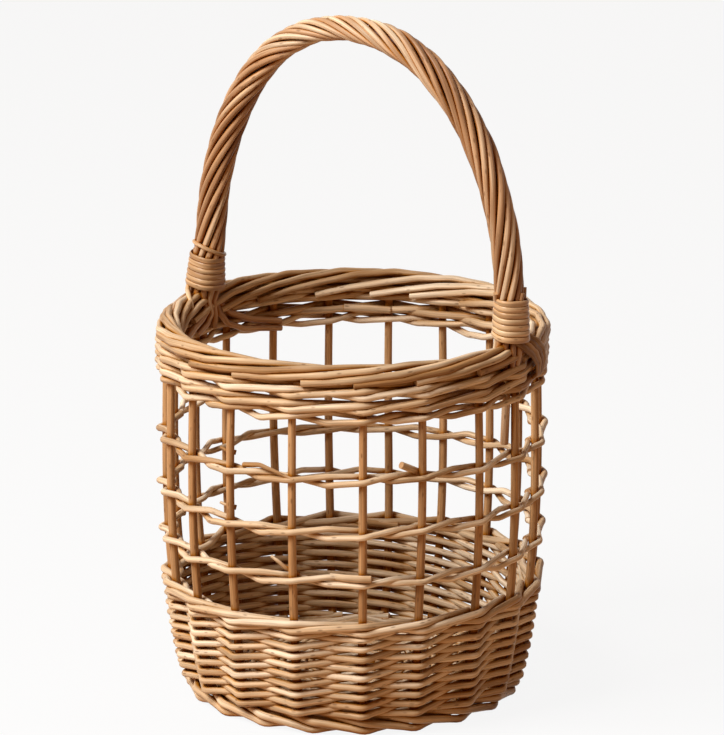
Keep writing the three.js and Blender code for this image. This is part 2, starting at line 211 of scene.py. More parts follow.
# %% Grain along the rods
GRAIN_SPREAD = 40.0
TONE_SPREAD = 0.16
TIP_PALENESS = 0.5
rod_tones = random.Random(7)


def store_grain(mesh, rods):
    sides = len(mesh.vertices) // sum(len(path) for path, sizes in rods)
    grain = []
    tones = []
    for path, sizes in rods:
        along = rod_tones.uniform(0.0, GRAIN_SPREAD)
        tone = min(max(rod_tones.gauss(0.5, TONE_SPREAD), 0.0), 1.0)
        for index, spot in enumerate(path):
            along += (spot - path[max(index - 1, 0)]).length * MM
            half = sizes[index] * MM / 2
            for side in range(sides):
                turn = math.tau * side / sides
                grain.extend((along, half * math.cos(turn), half * math.sin(turn)))
                tones.append(tone + TIP_PALENESS * (sizes[0] - sizes[index]))
    mesh.attributes.new("grain", "FLOAT_VECTOR", "POINT").data.foreach_set("vector", grain)
    mesh.attributes.new("tone", "FLOAT", "POINT").data.foreach_set("value", tones)
    return sides


print("each rod starts at its own place in a grain", GRAIN_SPREAD, "m long")

# %% [markdown]
# The curve is made a mesh, and its open ends are filled. Those filled faces have more than four
# corners, which is how the script finds them to give them the material of a cut end. A strip is a round
# rod that is flattened.

# %% Rod maker
CREASE = math.radians(50)


def flatten(mesh, rods, faces_out, thinness, sides):
    """Shaves round rods to strips: each point keeps only a share of its height above the strip's line."""
    spots = [(spot, out) for (path, sizes), outs in zip(rods, faces_out) for spot, out in zip(path, outs)]
    for index, point in enumerate(mesh.vertices):
        spot, out = spots[index // sides]
        height = (point.co - spot * MM).dot(out)
        point.co -= out * height * (1.0 - thinness)


def grow(name, rods, kind, nodes=(), faces_out=None, thinness=1.0):
    """Turns lines into willow rods of a kind and puts them in the place of CAD nodes."""
    slot, *finishes = kind
    draw_rods(name, rods)
    bpy.ops.object.convert(target="MESH")
    piece = bpy.context.object
    sides = store_grain(piece.data, rods)
    if faces_out:
        flatten(piece.data, rods, faces_out, thinness, sides)
    bpy.ops.object.mode_set(mode="EDIT")
    bpy.ops.mesh.select_all(action="SELECT")
    bpy.ops.mesh.fill_holes(sides=0)
    bpy.ops.mesh.normals_make_consistent(inside=False)
    bpy.ops.object.mode_set(mode="OBJECT")
    bpy.ops.object.shade_smooth_by_angle(angle=CREASE)
    for finish in finishes:
        piece.data.materials.append(finish)
    for face in piece.data.polygons:
        face.material_index = 1 if face.loop_total > 4 else 0
    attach(piece, "root")
    if nodes:
        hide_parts(*nodes)
    print(name, "rods:", len(rods), "faces:", len(piece.data.polygons))


print("rods stay smooth up to an edge of", round(math.degrees(CREASE)), "degrees")

# %% [markdown]
# ## Colours and nodes
# Colours are picked as sRGB hex values, as in any paint program, but shaders work with linear light, so
# one function turns them. Nodes could be wired one line at a time. One small function that adds a node
# with its settings and links keeps each material short enough to read.

# %% Colours and nodes
def linear(hex_colour):
    """An sRGB hex colour as linear red, green, blue and alpha."""
    values = [int(hex_colour[i : i + 2], 16) / 255 for i in (1, 3, 5)]
    return [v / 12.92 if v <= 0.04045 else ((v + 0.055) / 1.055) ** 2.4 for v in values] + [1.0]


def add_node(tree, kind, settings=None, inputs=None):
    """Adds a node, sets its properties, and sets or links its inputs."""
    node = tree.nodes.new(kind)
    for key, value in (settings or {}).items():
        setattr(node, key, value)
    for key, value in (inputs or {}).items():
        if isinstance(value, bpy.types.NodeSocket):
            tree.links.new(value, node.inputs[key])
        else:
            node.inputs[key].default_value = value
    return node


def spans(old, new):
    """Four inputs that tell a Map Range node to turn one span of values into another."""
    return {"From Min": old[0], "From Max": old[1], "To Min": new[0], "To Max": new[1]}


def new_material(name):
    material = bpy.data.materials.new(name)
    material.use_nodes = True
    tree = material.node_tree
    return material, tree, tree.nodes["Principled BSDF"]


print("half grey in linear light:", round(linear("#808080")[0], 3))

# %% [markdown]
# ## Peeled willow
# Buff willow is boiled with its bark on and then peeled, so tannin stains the wood a warm tan. No two
# rods have quite the same colour, and fine streaks run along each one. A wood picture could give that,
# but a picture would stretch at the bends. Noise on the straightened grain follows them.

# %% Streaks and tones
# Waves for each metre, along the rod and across it. The streaks are about 45 mm long and 0.9 mm wide:
# real fibres are finer, but too fine to show. The slow changes of colour come every 60 mm or so.
STREAK_WAVES = (22, 1100, 1100)
PATCH_WAVES = (16, 160, 160)
NOISE = {"Scale": 1.0, "Roughness": 0.6}


def streaked_colour(tree, grain, streaks, pale, middle, deep):
    """Each rod's own tone, paler and deeper by patches, with streaks over it."""
    tone = add_node(tree, "ShaderNodeAttribute", {"attribute_name": "tone"}).outputs["Fac"]
    spread = add_node(tree, "ShaderNodeMapping", inputs={"Vector": grain, "Scale": PATCH_WAVES})
    noise = {"Vector": spread.outputs["Vector"], "Detail": 2.0, **NOISE}
    patches = add_node(tree, "ShaderNodeTexNoise", inputs=noise).outputs["Fac"]
    swing = {"Value": patches, **spans((0.3, 0.7), (-0.32, 0.32))}
    patch_part = add_node(tree, "ShaderNodeMapRange", inputs=swing).outputs["Result"]
    mixed = add_node(tree, "ShaderNodeMath", {"operation": "ADD"}, {0: tone, 1: patch_part}).outputs[0]
    ramp = add_node(tree, "ShaderNodeValToRGB", inputs={"Fac": mixed})
    ramp.color_ramp.elements[0].color = linear(deep)
    ramp.color_ramp.elements[1].color = linear(pale)
    ramp.color_ramp.elements.new(0.5).color = linear(middle)
    shading = {"Value": streaks, **spans((0.34, 0.66), (0.62, 1.14))}
    shade = add_node(tree, "ShaderNodeMapRange", inputs=shading).outputs["Result"]
    scaling = {0: ramp.outputs["Color"], "Scale": shade}
    return add_node(tree, "ShaderNodeVectorMath", {"operation": "SCALE"}, scaling).outputs["Vector"]


print("streaks for each millimetre across a rod:", STREAK_WAVES[1] * MM)

# %% [markdown]
# Small dark scars show where the buds sat, and painted shade darkens the wood where rods lie close
# together. The scars are cells of a Voronoi pattern that is stretched along the rod. Painting that shade
# by hand would take hours. An Ambient Occlusion node measures how closed in a spot is, and the grooves
# are painted deeper and redder by that, as shade.

# %% Scars and stain
# Dark spots about 1.2 mm across, one every 25 mm or so. Painted shade reaches 5 mm from the next rod.
SCAR_CELLS = (110, 330, 330)
SCAR_COLOUR = "#5a3517"
SHADE_REACH = 0.005


def scarred_colour(tree, grain, colour):
    spread = add_node(tree, "ShaderNodeMapping", inputs={"Vector": grain, "Scale": SCAR_CELLS})
    cells = {"Vector": spread.outputs["Vector"], "Scale": 1.0}
    spots = add_node(tree, "ShaderNodeTexVoronoi", inputs=cells).outputs["Distance"]
    fading = {"Value": spots, **spans((0.10, 0.22), (0.55, 0.0))}
    scars = add_node(tree, "ShaderNodeMapRange", inputs=fading).outputs["Result"]
    mixing = {"Factor": scars, 6: colour, 7: linear(SCAR_COLOUR)}
    return add_node(tree, "ShaderNodeMix", {"data_type": "RGBA"}, mixing).outputs[2]


def painted_shade_colour(tree, colour):
    """Painted shade: the more closed in a spot is, the deeper and redder its colour."""
    closeness = add_node(tree, "ShaderNodeAmbientOcclusion", {"samples": 6}, {"Distance": SHADE_REACH})
    openness = closeness.outputs["AO"]
    changes = {
        "Hue": spans((0.0, 0.8), (0.462, 0.5)),
        "Saturation": spans((0.0, 0.8), (2.4, 1.0)),
        "Value": spans((0.0, 0.75), (0.35, 1.0)),
    }
    shade_inputs = {"Color": colour}
    for key, change in changes.items():
        inputs = {"Value": openness, **change}
        shade_inputs[key] = add_node(tree, "ShaderNodeMapRange", inputs=inputs).outputs["Result"]
    return add_node(tree, "ShaderNodeHueSaturation", inputs=shade_inputs).outputs["Color"]


print("painted shade reaches", SHADE_REACH / MM, "mm")

# %% [markdown]
# The peeled skin is smooth and has a soft sheen, so it is a plain dielectric of wood's usual IOR with a
# low polish. The streaks also give it a fine relief and make it a little glossier and duller by turns.

# %% Willow finishes
SHEEN_SPREAD = (0.12, -0.08)
RELIEF = 0.0003


def peeled_willow(name, pale, middle, deep, roughness, polish):
    """Peeled rods: a tone for each rod, streaks along it, bud scars, and painted shade in the grooves."""
    material, tree, shader = new_material(name)
    grain = add_node(tree, "ShaderNodeAttribute", {"attribute_name": "grain"}).outputs["Vector"]
    spread = add_node(tree, "ShaderNodeMapping", inputs={"Vector": grain, "Scale": STREAK_WAVES})
    noise = {"Vector": spread.outputs["Vector"], "Detail": 4.0, **NOISE}
    streaks = add_node(tree, "ShaderNodeTexNoise", inputs=noise).outputs["Fac"]
    colour = streaked_colour(tree, grain, streaks, pale, middle, deep)
    # Painted shade: the grooves between rods are drawn deeper and redder.
    colour = painted_shade_colour(tree, scarred_colour(tree, grain, colour))
    tree.links.new(colour, shader.inputs["Base Color"])
    shader.inputs["Specular IOR Level"].default_value = polish
    sheen = [roughness + change for change in SHEEN_SPREAD]
    gloss = add_node(tree, "ShaderNodeMapRange", inputs={"Value": streaks, **spans((0.0, 1.0), sheen)})
    tree.links.new(gloss.outputs["Result"], shader.inputs["Roughness"])
    relief = {"Height": streaks, "Strength": 0.25, "Distance": RELIEF}
    bump = add_node(tree, "ShaderNodeBump", inputs=relief).outputs["Normal"]
    tree.links.new(bump, shader.inputs["Normal"])
    return material


# Thin whole rods, boiled and peeled: pale, with a soft sheen.
weaver_willow = peeled_willow("peeled buff willow", "#e6d3b8", "#ccaf8b", "#a27a4f", 0.46, 0.14)
# Thicker rods of the same kind: browner and a little duller.
stake_willow = peeled_willow("peeled buff willow stakes", "#bd9468", "#a87c50", "#885d39", 0.48, 0.12)
# Rods that hands rub smooth: pale and deep ones side by side, with more sheen.
handle_willow = peeled_willow("peeled buff willow roping", "#dfc9aa", "#b78f69", "#865c3a", 0.40, 0.2)
# The skin of a split rod, shaved to a strip: pale, and the shiniest.
skein_willow = peeled_willow("split willow skein", "#ead3ae", "#caa67c", "#976b41", 0.32, 0.26)
# A darker, duller copy of the skein for tail strips in shade: the darker colour is painted shade.
shaded_skein = peeled_willow("split willow skein painted shade", "#b8946a", "#94704a", "#6f4d2e", 0.5, 0.12)
print("willow finishes: 5")

# %% [markdown]
# ## Cut ends
# A knife leaves the end of a rod flat and dull. The cut shows short broken fibres, paler and darker by
# turns. Rings could be drawn there, but on a rod of 5 mm they don't show, so noise across the grain is
# enough.

# %% Cut willow
FIBRE_WAVES = (0, 1500, 1500)


def cut_willow():
    """A fresh knife cut: no sheen, and fibres of 0.7 mm, drawn coarser than real ones to show."""
    material, tree, shader = new_material("cut willow end")
    grain = add_node(tree, "ShaderNodeAttribute", {"attribute_name": "grain"}).outputs["Vector"]
    spread = add_node(tree, "ShaderNodeMapping", inputs={"Vector": grain, "Scale": FIBRE_WAVES})
    noise = {"Vector": spread.outputs["Vector"], "Detail": 2.0, **NOISE}
    fibres = add_node(tree, "ShaderNodeTexNoise", inputs=noise).outputs["Fac"]
    ramp = add_node(tree, "ShaderNodeValToRGB", inputs={"Fac": fibres})
    ramp.color_ramp.elements[0].color = linear("#7d5029")
    ramp.color_ramp.elements[1].color = linear("#d0a878")
    tree.links.new(ramp.outputs["Color"], shader.inputs["Base Color"])
    shader.inputs["Roughness"].default_value = 0.7
    return material


cut_end = cut_willow()
WEAVER = ("willow_weaver", weaver_willow, cut_end)
STAKE = ("willow_stake", stake_willow, cut_end)
HANDLE = ("willow_handle", handle_willow, cut_end)
SKEIN = ("willow_skein", skein_willow, cut_end)
SHADED_SKEIN = ("willow_skein", shaded_skein, cut_end)
print("cut end finish made")

# %% [markdown]
# ## Stakes
# Each stake has its toe in the base, bends up at the foot, and runs through every row to the border.
# One stake could be copied twenty times, but a rod is never quite straight, so each one gets a slow bow
# of its own from seeded random numbers.

# %% Stakes
BASE_LEVEL = 7.9
BASE_RADIUS = 86.8
TOE_LENGTH = 14
BEND_TOP = 16.9
KNEE_INSET = 2.1
KNEE_STEPS = 5
STAKE_TOP = 215.0
STAKE_STEPS = 24
STAKE_BUTT = STAKE_SIZE + 0.2
STAKE_TIP = STAKE_SIZE - 0.6
SWING = 0.006
hand = random.Random(21)


def jitter(most):
    """A small error of the hand, up to so much either way."""
    return hand.uniform(-most, most)


def stake_path(number):
    angle = stake_angle(number)
    top_radius = wall_radius(BEND_TOP)
    knee = top_radius - KNEE_INSET
    lean = jitter(SWING)
    bow = jitter(SWING)
    path = [place(angle, BASE_RADIUS - TOE_LENGTH, BASE_LEVEL)]
    for step in range(KNEE_STEPS + 1):
        t = step / KNEE_STEPS
        radius = BASE_RADIUS * (1 - t) ** 2 + knee * 2 * t * (1 - t) + top_radius * t * t
        path.append(place(angle, radius, BASE_LEVEL + (BEND_TOP - BASE_LEVEL) * t * t))
    for step in range(1, STAKE_STEPS + 1):
        z = BEND_TOP + (STAKE_TOP - BEND_TOP) * step / STAKE_STEPS
        share = z / STAKE_TOP
        swing = lean * math.sin(math.pi * share) + bow * math.sin(math.tau * share)
        path.append(place(angle + swing, wall_radius(z), z))
    return path


for number in range(STAKE_COUNT):
    label = f"{number + 1:02d}"
    rod = tapered(stake_path(number), STAKE_BUTT, STAKE_TIP)
    grow(f"willow_stake_{label}", [rod], STAKE, [f"stake_{label}"])

# %% [markdown]
# ## The base
# Five thick sticks cross in the middle: three are split, and the other two are shaved thin and threaded
# through them. Their ten arms are opened out like spokes. Straight spokes would be simpler, but the
# real ones leave the crossing side by side and bend apart, so each arm is a short curve.

# %% Base sticks
STICK_SIZE = 5.6
SHAVED_SIZE = 3.0
STICK_GAP = 5.9
STICK_OVERRUN = 1.6
CROSS_HALF = 14.0
CROSS_RADIUS = 17
ARM_STEPS = 12
ARM_LEAD = 0.8
PIERCED_TURN = math.radians(45)
THREADED_TURN = PIERCED_TURN + math.pi / 2
arms = {}


def stick_arm(turn, offset, side, pair):
    """Half a stick, from the crossing out to the middle of a pair of stakes."""
    along = place(turn, CROSS_HALF * side, 0.0)
    knee = place(turn + math.pi / 2, offset, BASE_LEVEL) + along
    angle = (stake_angle(2 * pair) + stake_angle(2 * pair + 1)) / 2
    end = place(angle, BASE_RADIUS + STICK_OVERRUN, BASE_LEVEL)
    lead = knee + along * ARM_LEAD
    shares = [step / ARM_STEPS for step in range(ARM_STEPS + 1)]
    return [knee * (1 - t) ** 2 + lead * 2 * t * (1 - t) + end * t * t for t in shares]


def base_stick(turn, offset, one_pair, other_pair, middle_size):
    arms[one_pair] = stick_arm(turn, offset, 1, one_pair)
    arms[other_pair] = stick_arm(turn, offset, -1, other_pair)
    path = arms[one_pair][::-1] + arms[other_pair]
    return path, [middle_size if spot.xy.length < CROSS_RADIUS else STICK_SIZE for spot in path]


base_sticks = {
    "pierced_1": base_stick(PIERCED_TURN, 0.0, 1, 6, STICK_SIZE),
    "pierced_2": base_stick(PIERCED_TURN, STICK_GAP, 2, 5, STICK_SIZE),
    "pierced_3": base_stick(PIERCED_TURN, -STICK_GAP, 0, 7, STICK_SIZE),
    "threaded_1": base_stick(THREADED_TURN, STICK_GAP / 2, 4, 8, SHAVED_SIZE),
    "threaded_2": base_stick(THREADED_TURN, -STICK_GAP / 2, 3, 9, SHAVED_SIZE),
}
for label, rod in base_sticks.items():
    grow(f"willow_base_stick_{label}", [rod], STAKE, [f"base_stick_{label}"])

# %% [markdown]
# The arms are woven with a pair of rods that cross between every two arms, one over and one under. The
# first rounds take the arms in their bundles, and the later ones open them to single spokes. A flat
# disc with a bump would show no gaps, so each strand is a real spiral that goes over and under.

# %% Base weave
WEAVE_SIZE = 3.3
WEAVE_PITCH = 4.3
WEAVE_START = 14.8
WEAVE_END = BASE_RADIUS + 0.4
LAST_ROUND = 1.2
BUNDLES = (0, 0, 0, 1, 1, 2, 2, 2, 3, 3)
OPENED_RADIUS = 30.0
WEAVE_LIFT = (STICK_SIZE + WEAVE_SIZE) / 2 - 0.3
CROSSING_SPREAD = 1.3


def arm_angle(pair, radius):
    for near, far in zip(arms[pair], arms[pair][1:]):
        if radius <= far.xy.length:
            share = (radius - near.xy.length) / (far.xy.length - near.xy.length)
            spot = near.lerp(far, share)
            break
    return math.atan2(spot.y, spot.x) % math.tau


def base_strand(strand):
    stations = []
    rounds = (WEAVE_END - WEAVE_START) / WEAVE_PITCH + LAST_ROUND
    for step in range(round(rounds * len(arms))):
        turns, pair = divmod(step, len(arms))
        radius = min(WEAVE_START + WEAVE_PITCH * step / len(arms), WEAVE_END)
        order = pair if radius > OPENED_RADIUS else BUNDLES[pair]
        side = 1 if (order + strand) % 2 else -1
        stations.append((arm_angle(pair, radius) + turns * math.tau, radius, side))
    corners = []
    for here, ahead in zip(stations, stations[1:]):
        angle, radius, side = here
        corners.append(place(angle, radius, BASE_LEVEL + side * WEAVE_LIFT))
        if side != ahead[2]:
            corners.append(place((angle + ahead[0]) / 2, radius + side * CROSSING_SPREAD, BASE_LEVEL))
    return corners


print("rounds in the base:", round((WEAVE_END - WEAVE_START) / WEAVE_PITCH + LAST_ROUND, 1))

# %% [markdown]
# A weaver is only so long, so each strand is cut into lengths. Every length tapers and has its own
# tone.

# %% Lengths of the base weave
BASE_BEND = 4.0
BASE_BUTT = WEAVE_SIZE + 0.2
BASE_TIP = WEAVE_SIZE - 0.3
CORNERS_IN_A_ROD = 52
SHORTEST_ROD = 8

base_rods = []
for strand in range(2):
    corners = base_strand(strand)
    for start in range(0, len(corners) - SHORTEST_ROD, CORNERS_IN_A_ROD):
        line = bent(corners[start : start + CORNERS_IN_A_ROD + 1], BASE_BEND)
        base_rods.append(tapered(line, BASE_BUTT, BASE_TIP))
grow("base_weaving", base_rods, WEAVER, ["base_weave"])

# %% [markdown]
# ## The close band: French randing
# The lower band is woven with as many rods as there are stakes. Every rod goes outside one stake and
# inside the next. It climbs most of a row on its way in and comes out again nearly level, so all the
# rods tuck behind each other the same way. Stacked rings would be simpler, but they can't show these
# slanting ridges.

# %% Close band
ROW_RISE = 6.1
WAY_IN = 5.0
FIRST_ROW = 13.4
BAND_STEPS = 18
BAND_BEND = 6.5
ROW_JITTER = 0.35
WEAVER_BUTT = 4.2
WEAVER_TIP = 3.8
WEAVER_SPREAD = 0.25


def band_weaver(first_stake):
    corners = []
    for step in range(-1, BAND_STEPS):
        row, inside = divmod(step, 2)
        z = FIRST_ROW + row * ROW_RISE + inside * WAY_IN + jitter(ROW_JITTER)
        offset = (-1 if inside else 1) * (STAKE_SIZE + WEAVER_BUTT) / 2
        corners.append(place(stake_angle(first_stake + step), wall_radius(z) + offset, z))
    extra = jitter(WEAVER_SPREAD)
    return tapered(bent(corners, BAND_BEND), WEAVER_BUTT + extra, WEAVER_TIP + extra)


band_rods = [band_weaver(number) for number in range(STAKE_COUNT)]
grow("close_band", band_rods, WEAVER, [f"lower_row_{row}" for row in range(1, 9)])

# %% [markdown]
# ## Waling
# A wale is a thick row of three rods. Each in turn goes in front of two stakes and behind one, so two
# rods always show on the outside. With twenty stakes the three rods join into one line that goes round
# three times. It is cut where it lies behind a stake, so the ends stay inside. One function makes every
# wale of the basket.

# %% Waling
WALE_CUTS = (0, 21, 39, 60)
WALE_SIZE = 4.4
WALE_BEND = 8.0
WALE_JITTER = 0.25
WALE_TAPER = 0.2
END_TUCK = 1.6


def wale(behind, low, high):
    """Three rods: behind one stake, then low in front of the next and high in front of the one after."""
    heights = (behind, low, high)
    reach = (STAKE_SIZE + WALE_SIZE) / 2
    rods = []
    for start, end in zip(WALE_CUTS, WALE_CUTS[1:]):
        corners = []
        for step in range(start, end + 1):
            phase = step % 3
            z = heights[phase] + jitter(WALE_JITTER)
            for angle in posts(step, z):
                corners.append(place(angle, wall_radius(z) + (reach if phase else -reach), z))
        corners[0].z -= END_TUCK
        corners[-1].z += END_TUCK
        rods.append(tapered(bent(corners, WALE_BEND), WALE_SIZE + WALE_TAPER, WALE_SIZE - WALE_TAPER))
    return rods


wale_rods = wale(behind=68.4, low=66.2, high=70.6)
grow("close_band_wale", wale_rods, WEAVER, ["lower_wale"])

# %% [markdown]
# ## The foot
# The basket stands on a ring of short rods, laid like a rope round the elbows of the stakes. Each rod
# starts inside, comes out over the one before it, dips to the floor and goes in again, so a row of
# small scallops shows there. A plain ring would lose them. One thick rod runs round inside as a core
# and closes the gaps.

# %% Foot
FOOT_LINE = ((-4.4, 11.4), (4.6, 8.0), (4.7, 2.5), (-4.4, 5.4))
FOOT_START = 308
FOOT_STEP = 18
FOOT_RADIUS = 91.2
FOOT_FLARE = 0.42
FOOT_BEND = 8.0
FOOT_BUTT = 4.5
FOOT_TIP = 4.7
FOOT_JITTER = (-0.2, 0.3)
CORE_STEP = 5
CORE_JITTER = 0.2
CORE_TAPER = 0.4


def foot_rod(number):
    corners = []
    for step, (offset, z) in enumerate(FOOT_LINE):
        level = z + hand.uniform(*FOOT_JITTER)
        angle = math.radians(FOOT_START + FOOT_STEP * (number + step))
        corners.append(place(angle, FOOT_RADIUS + FOOT_FLARE * z + offset, level))
    return tapered(bent(corners, FOOT_BEND), FOOT_BUTT, FOOT_TIP)


def core_rod(radius, z, start, size):
    """One rod that goes all the way round, hidden inside a ring of others."""
    spots = []
    for step in range(360 // CORE_STEP + 1):
        level = z + jitter(CORE_JITTER)
        spots.append(place(math.radians(start + step * CORE_STEP), radius, level))
    return tapered(spots, size, size - CORE_TAPER)


foot_rods = [foot_rod(number) for number in range(STAKE_COUNT)]
foot_rods.append(core_rod(radius=90.4, z=8.0, start=120, size=6.4))
grow("foot_waling", foot_rods, WEAVER, ["foot_wale"])

# %% [markdown]
# ## Fitching
# The open middle is held by three pairs of twined rods. The two rods of a pair turn round each other
# between the stakes: the one that was in front goes over the top and behind the next stake, and the
# other comes out below it. A twisted cord would turn evenly, so instead each rod gets a corner at every
# stake and every crossing.

# %% Fitching
FITCH_HEIGHTS = (97.0, 126.0, 158.0)
FITCH_SIZE = 3.7
FITCH_BEND = 7.0
FITCH_PRESS = 0.2
BUTT_EXTRA = 0.3
TIP_LESS = 0.4
FITCH_JITTER = 1.3
CROSSING_JITTER = 0.8
HALF_ROUND = STAKE_COUNT // 2
FITCH_STARTS = (1, 1 + HALF_ROUND)


def twined_rod(height, size, strand, start):
    """Half a round of one rod of a pair, in front of every other stake and behind the rest."""
    reach = (STAKE_SIZE + size) / 2 - FITCH_PRESS
    corners = []
    for step in range(start, start + HALF_ROUND + 1):
        side = -1 if (step + strand) % 2 else 1
        z = height + jitter(FITCH_JITTER)
        around_post = posts(step, z)
        corners += [place(angle, wall_radius(z) + side * reach, z) for angle in around_post]
        if step < start + HALF_ROUND:
            middle = (around_post[-1] + posts(step + 1, z)[0]) / 2
            rise = side * (size / 2 + hand.uniform(0.0, CROSSING_JITTER))
            corners.append(place(middle, wall_radius(z), z + rise))
    return tapered(bent(corners, FITCH_BEND), size + BUTT_EXTRA, size - TIP_LESS)


for row, height in enumerate(FITCH_HEIGHTS, start=1):
    for strand, letter in enumerate("ab"):
        rods = [twined_rod(height, FITCH_SIZE, strand, start + strand) for start in FITCH_STARTS]
        grow(f"fitching_{row}{letter}", rods, WEAVER, [f"fitch_{row}{letter}"])

# %% [markdown]
# ## Upper band
# Under the border, one twined pair and two wales pull the stakes together and hold the tails of the
# bow. They are the same rows as below, so the same two functions make them at their own heights.

# %% Upper band
PAIR_HEIGHT = 194.9
PAIR_SIZE = 3.9

pair = []
for strand in range(2):
    pair += [twined_rod(PAIR_HEIGHT, PAIR_SIZE, strand, start + strand) for start in FITCH_STARTS]
grow("upper_pair", pair, WEAVER, ["upper_wale_1"])
wale_rods = wale(behind=201.8, low=199.8, high=203.9)
grow("upper_waling_1", wale_rods, WEAVER, ["upper_wale_2"])
wale_rods = wale(behind=209.9, low=207.8, high=212.0)
grow("upper_waling_2", wale_rods, WEAVER, ["upper_wale_3"])

# %% [markdown]
# ## Rolled border
# The tops of the stakes make the border. Each comes up along the inside, goes over the edge and slants
# down along the outside, over the ones before it, until it is cut off. A torus with twisted grooves
# would look alike from afar, but it has no ends and no gaps. So one rod's line is given, in degrees
# past its stake, radius and height, and every stake gets its own. Three thin rods run round inside as a
# core.

# %% Border
BORDER_SIZE = 4.2
BORDER_START = BORDER_SIZE - 0.3
BORDER_END = BORDER_SIZE + 0.2
BORDER_BEND = 20.0
TOP_JITTER = 0.03
REACH_JITTER = 0.3
LEVEL_JITTER = 0.4
BORDER_LINE = (
    (44, 101.8, 212),
    (32, 101.8, 216.2),
    (20, 102.8, 220),
    (9, 105, 223),
    (-3, 108.2, 224.6),
    (-15, 111.4, 223.6),
    (-28, 113.4, 221.2),
    (-42, 113.8, 218.4),
    (-57, 113.6, 215.6),
)
BORDER_CORE = ((105.4, 214.6, 254.6), (108.6, 218.6, 258.6), (109.2, 214.4, 254.4))


def border_rod(number):
    top = stake_angle(number) + jitter(TOP_JITTER)
    corners = []
    for degrees, radius, z in BORDER_LINE:
        reach = radius + jitter(REACH_JITTER)
        level = z + jitter(LEVEL_JITTER)
        corners.append(place(top + math.radians(degrees), reach, level))
    return tapered(bent(corners, BORDER_BEND), BORDER_START, BORDER_END)


border_rods = [border_rod(number) for number in range(STAKE_COUNT)]
border_rods += [core_rod(radius, z, start, BORDER_SIZE) for radius, z, start in BORDER_CORE]
grow("rolled_border", border_rods, WEAVER, ["border"])

# %% [markdown]
# ## The handle's line
# The handle is an arch between two straight tails, which go down beside the foot stakes. A half circle
# would be too narrow at the shoulders, so the arch is a slightly squared ellipse that sways a little,
# as a bent rod does.

# %% Handle line
HANDLE_RISE = 172.4
HALF_SPAN = wall_radius(BODY_HEIGHT) - 1.3
SQUARENESS = 2.18
SWAY = 2.3
LEFT_LEAN = 3.1
LEAN_LEVEL = 22
LEAN_REACH = 50
ARCH_PARTS = 720


def arch_point(share):
    turn = math.pi * share
    across = abs(math.cos(turn) / HALF_SPAN) ** SQUARENESS
    upwards = abs(math.sin(turn) / HANDLE_RISE) ** SQUARENESS
    reach = (across + upwards) ** (-1 / SQUARENESS)
    rise = reach * math.sin(turn)
    sway = SWAY * math.sin(math.pi * rise / HANDLE_RISE)
    lean = LEFT_LEAN * (1 - math.cos(turn)) / 2 * math.exp(-(((rise - LEAN_LEVEL) / LEAN_REACH) ** 2))
    return Vector((reach * math.cos(turn) + sway + lean, 0.0, BODY_HEIGHT + rise))


arch = [arch_point(part / ARCH_PARTS) for part in range(ARCH_PARTS + 1)]
arch_run = [0.0]
for one, other in zip(arch, arch[1:]):
    arch_run.append(arch_run[-1] + (other - one).length)
ARCH_LENGTH = arch_run[-1]
print("length of the arch in mm:", round(ARCH_LENGTH))

# %% [markdown]
# The other pieces of the handle are placed by how far along this line they are, how far round it, and
# how far from it. Blender's Curve modifier could bend straight rods along the arch, but then their ends
# couldn't leave the line.

# %% Places on the handle
SIDEWAYS = Vector((0.0, 1.0, 0.0))


def arch_frame(distance):
    """The point, the direction and the outward side of the line. It runs on straight past its ends."""
    inside = min(max(distance, 0.0), ARCH_LENGTH)
    index = max(1, next(i for i, run in enumerate(arch_run) if run >= inside - 1e-9))
    share = (inside - arch_run[index - 1]) / (arch_run[index] - arch_run[index - 1])
    along = (arch[index] - arch[index - 1]).normalized()
    point = arch[index - 1].lerp(arch[index], share) + along * (distance - inside)
    return point, along, SIDEWAYS.cross(along)


def round_handle(distance, turn, radius):
    """A point near the handle's line: so far along it, so far round it, and so far from it."""
    point, along, out = arch_frame(distance)
    return point + (out * math.cos(turn) + SIDEWAYS * math.sin(turn)) * radius


print("top of the arch in mm:", round(arch_frame(ARCH_LENGTH / 2)[0].z))

# %% [markdown]
# ## Bow
# A thick rod bent to a bow is the core of the handle. The roping hides it, but it fills the middle and
# shows in the gaps. Its tails are shaved thinner, to go down through the border beside the stakes.

# %% Bow
BOW_SIZE = 7.6
BOW_TAIL_SIZE = 4.9
BOW_STEPS = 120
BOW_TAIL = BODY_HEIGHT - BOW_TAIL_BOTTOM

bow_path = []
bow_sizes = []
for step in range(BOW_STEPS + 1):
    distance = -BOW_TAIL + (ARCH_LENGTH + 2 * BOW_TAIL) * step / BOW_STEPS
    inside = 0.0 < distance < ARCH_LENGTH
    bow_path.append(arch_frame(distance)[0])
    bow_sizes.append(BOW_SIZE if inside else BOW_TAIL_SIZE)
grow("handle_core", [(bow_path, bow_sizes)], HANDLE, ["handle_bow"])

# %% [markdown]
# ## Roping
# Ten thinner rods are twisted round the bow like the strands of a rope, and closest at the top. At the
# near foot they go straight down into the border. At the far foot they fan out along the inside of the
# rim, each on a line of its own in degrees, radius and height. A twisted profile would be quicker, but
# it can't come apart there.

